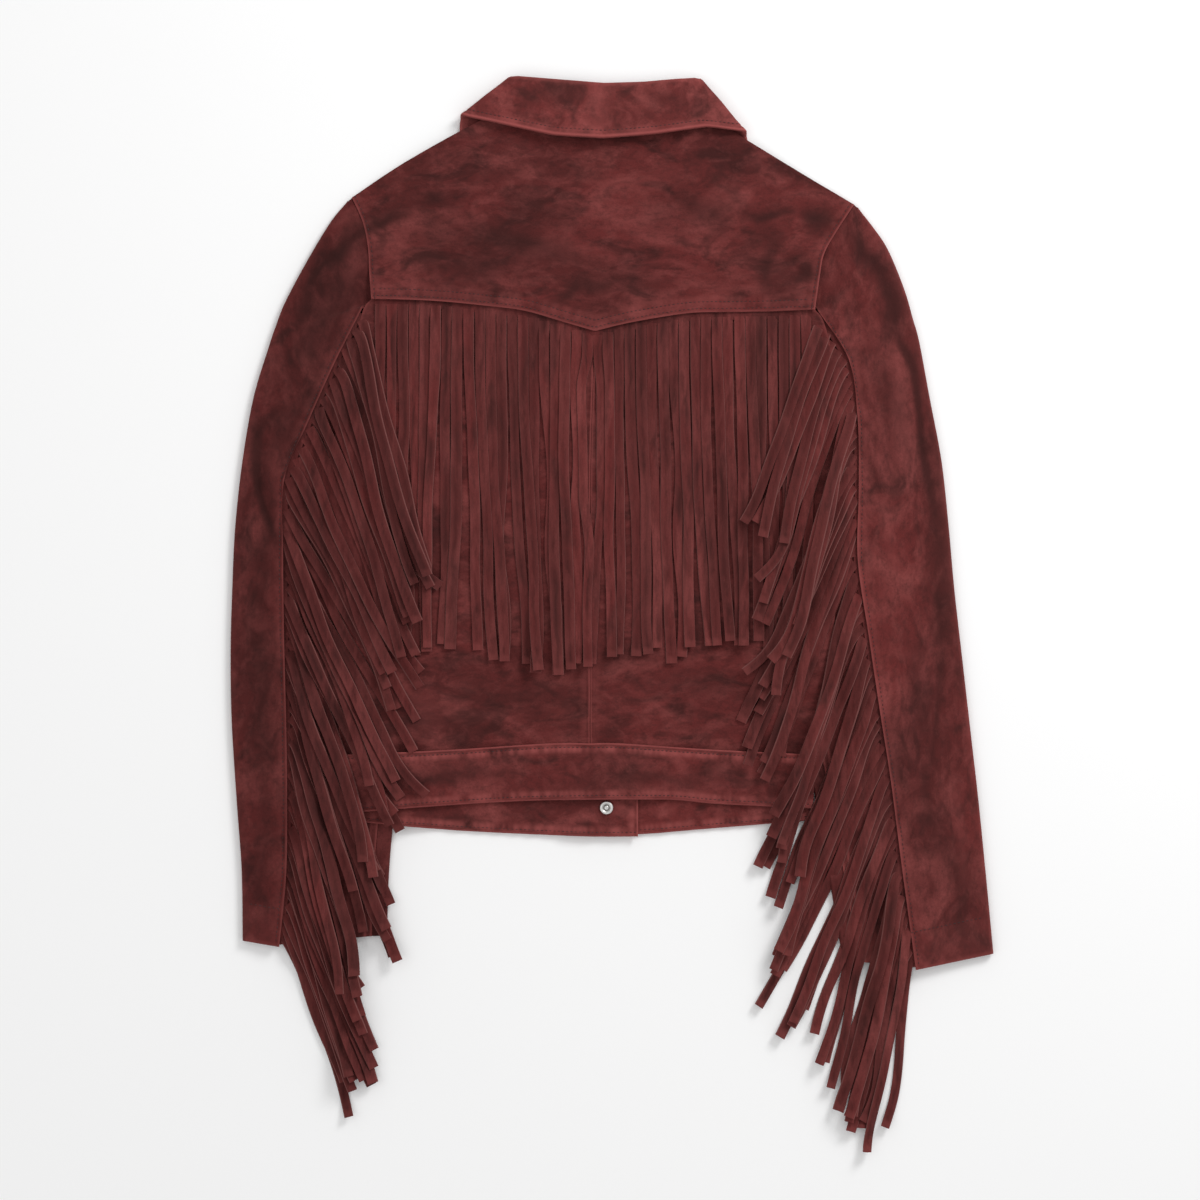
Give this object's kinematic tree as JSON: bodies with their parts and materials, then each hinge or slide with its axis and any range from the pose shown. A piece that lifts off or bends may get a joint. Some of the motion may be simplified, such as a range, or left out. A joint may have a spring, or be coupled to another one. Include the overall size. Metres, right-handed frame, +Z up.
{
  "type": "fringed suede jacket",
  "caption": "Waist-length suede trucker jacket laid flat on its front, back up, with a pointed yoke, fringe under the yoke and down both sleeves, a turned-down collar and a waistband.",
  "frame": {"origin": "on the surface that the jacket lies on, below the lower middle of the back", "axes": "+Z up out of the back, +Y to the collar, +X to the wearer's right arm"},
  "size_m": [0.6096, 0.864, 0.0288],
  "materials": {
    "suede": "oxblood suede, soft mottled nap",
    "fringe": "oxblood suede cut in strips, raw edges",
    "snap": "bright snap with a dark dish"
  },
  "bodies": {
    "root": {"sleeve_left_top": "suede", "sleeve_left_under": "suede", "sleeve_right_top": "suede", "sleeve_right_under": "suede", "collar_fall": "suede", "collar_stand": "suede", "waistband_front_right": "suede", "waistband_front_left": "suede", "front_right": "suede", "front_left": "suede", "back_left": "suede", "back_right": "suede", "back_yoke": "suede", "waistband_back": "suede", "back_fringe": "fringe", "sleeve_left_fringe": "fringe", "sleeve_right_fringe": "fringe", "snap_socket": "snap"}
  },
  "joints": []
}
